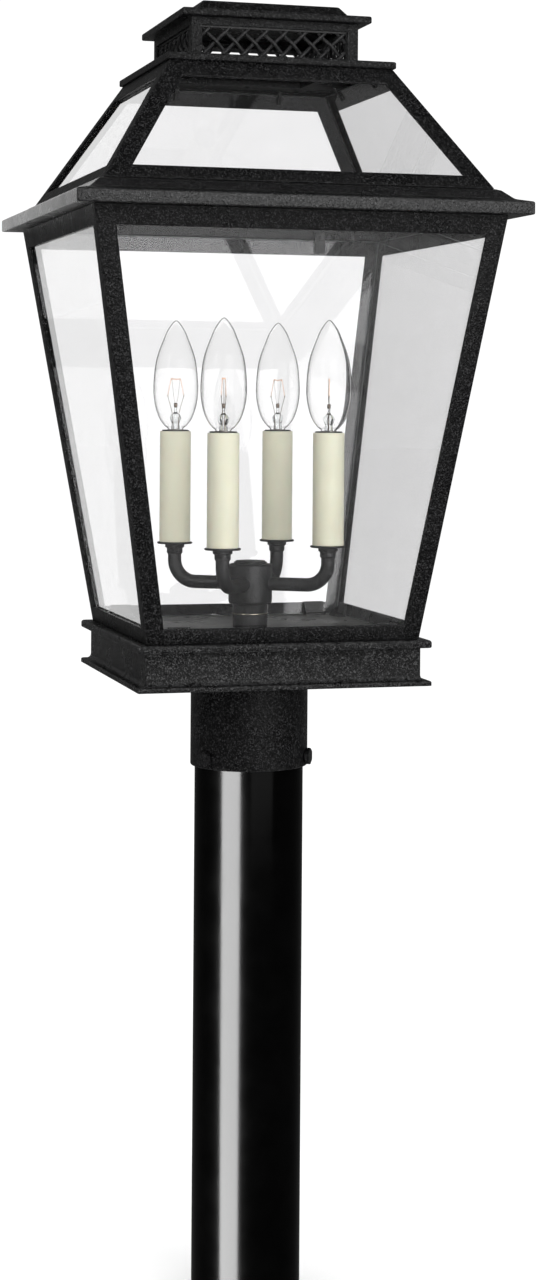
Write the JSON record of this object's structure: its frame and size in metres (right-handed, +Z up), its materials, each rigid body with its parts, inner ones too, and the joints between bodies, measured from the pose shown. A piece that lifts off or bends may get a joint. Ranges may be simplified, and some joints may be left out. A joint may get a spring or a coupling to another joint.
{
  "type": "post lantern",
  "caption": "Square tapered glass lantern with candle lamps, a vented hip roof and a stepped base, carried on a round post by a slip-over fitter with set screws.",
  "frame": {"origin": "centre of the post's lower end", "axes": "+Z up the post, -Y towards the lantern's front, +X to the right seen from the front"},
  "size_m": [0.3072, 0.3072, 0.9045],
  "materials": {
    "weathered_black": "matt black paint over a fine pitted, hammered texture, worn grey on edges",
    "gloss_black_post": "smooth gloss black enamel",
    "dark_fasteners": "satin black",
    "woven_wire": "matt black painted wire",
    "plated_steel": "zinc plated",
    "bright_ring": "bright",
    "clear_glass": "clear flat glass",
    "socket_black": "moulded phenolic",
    "ivory_sleeve": "ivory, faintly waxy",
    "bulb_glass": "thin clear blown glass",
    "bulb_base_metal": "rolled thread",
    "stem_glass": "clear pressed glass"
  },
  "bodies": {
    "post": {"post": "gloss_black_post"},
    "lantern": {"post_fitter": "weathered_black", "base_casting": "weathered_black", "floor_plate": "weathered_black", "body_top_rails": "weathered_black", "body_bottom_rails": "weathered_black", "eave_moulding": "weathered_black", "cluster_hub": "weathered_black", "hub_cap": "weathered_black", "neck_spacer": "weathered_black", "lamp_arms": "weathered_black", "drip_cups": "weathered_black", "foot_glass_clips": "weathered_black", "top_glass_clips": "weathered_black", "corner_post_back_right": "weathered_black", "corner_post_back_left": "weathered_black", "corner_post_front_left": "weathered_black", "corner_post_front_right": "weathered_black", "clip_thumb_screws": "dark_fasteners", "base_screws": "plated_steel", "cluster_nipple": "plated_steel", "nipple_nut": "plated_steel", "neck_ring": "bright_ring", "side_glass_back": "clear_glass", "side_glass_left": "clear_glass", "side_glass_front": "clear_glass", "side_glass_right": "clear_glass", "lamp_sockets": "socket_black", "candle_sleeves": "ivory_sleeve"},
    "roof": {"roof_hip_back_right": "weathered_black", "roof_hip_back_left": "weathered_black", "roof_hip_front_left": "weathered_black", "roof_hip_front_right": "weathered_black", "roof_glass_back": "clear_glass", "roof_glass_left": "clear_glass", "roof_glass_front": "clear_glass", "roof_glass_right": "clear_glass", "roof_top_rails": "weathered_black", "roof_bottom_rails": "weathered_black", "roof_glass_clips": "weathered_black", "vent_lower_plate": "weathered_black", "vent_box": "weathered_black", "vent_mesh": "woven_wire", "vent_upper_plate": "weathered_black", "vent_cap": "weathered_black"},
    "set_screw_left": {"set_screw_left": "dark_fasteners"},
    "set_screw_right": {"set_screw_right": "dark_fasteners"},
    "set_screw_back": {"set_screw_back": "dark_fasteners"},
    "bulb_1": {"bulb_glass_1": "bulb_glass", "bulb_base_1": "bulb_base_metal", "bulb_stem_1": "stem_glass"},
    "bulb_2": {"bulb_glass_2": "bulb_glass", "bulb_base_2": "bulb_base_metal", "bulb_stem_2": "stem_glass"},
    "bulb_3": {"bulb_glass_3": "bulb_glass", "bulb_base_3": "bulb_base_metal", "bulb_stem_3": "stem_glass"},
    "bulb_4": {"bulb_glass_4": "bulb_glass", "bulb_base_4": "bulb_base_metal", "bulb_stem_4": "stem_glass"}
  },
  "joints": [
    {"name": "lantern_turn", "type": "hinge", "parent": "post", "child": "lantern", "pos_m": [0, 0, 0.42], "axis": [0, 0, 1], "range_deg": [-180, 180]},
    {"name": "roof_lift", "type": "slide", "parent": "lantern", "child": "roof", "axis": [0, 0, 1], "range_m": [0, 0.12]},
    {"name": "set_screw_left_travel", "type": "slide", "parent": "lantern", "child": "set_screw_left", "axis": [-0.866, -0.5, 0], "range_m": [0, 0.0025]},
    {"name": "set_screw_right_travel", "type": "slide", "parent": "lantern", "child": "set_screw_right", "axis": [0.866, -0.5, 0], "range_m": [0, 0.0025]},
    {"name": "set_screw_back_travel", "type": "slide", "parent": "lantern", "child": "set_screw_back", "axis": [0, 1, 0], "range_m": [0, 0.0025]},
    {"name": "bulb_1_unscrew", "type": "slide", "parent": "lantern", "child": "bulb_1", "axis": [0, 0, 1], "range_m": [0, 0.025]},
    {"name": "bulb_2_unscrew", "type": "slide", "parent": "lantern", "child": "bulb_2", "axis": [0, 0, 1], "range_m": [0, 0.025]},
    {"name": "bulb_3_unscrew", "type": "slide", "parent": "lantern", "child": "bulb_3", "axis": [0, 0, 1], "range_m": [0, 0.025]},
    {"name": "bulb_4_unscrew", "type": "slide", "parent": "lantern", "child": "bulb_4", "axis": [0, 0, 1], "range_m": [0, 0.025]}
  ]
}
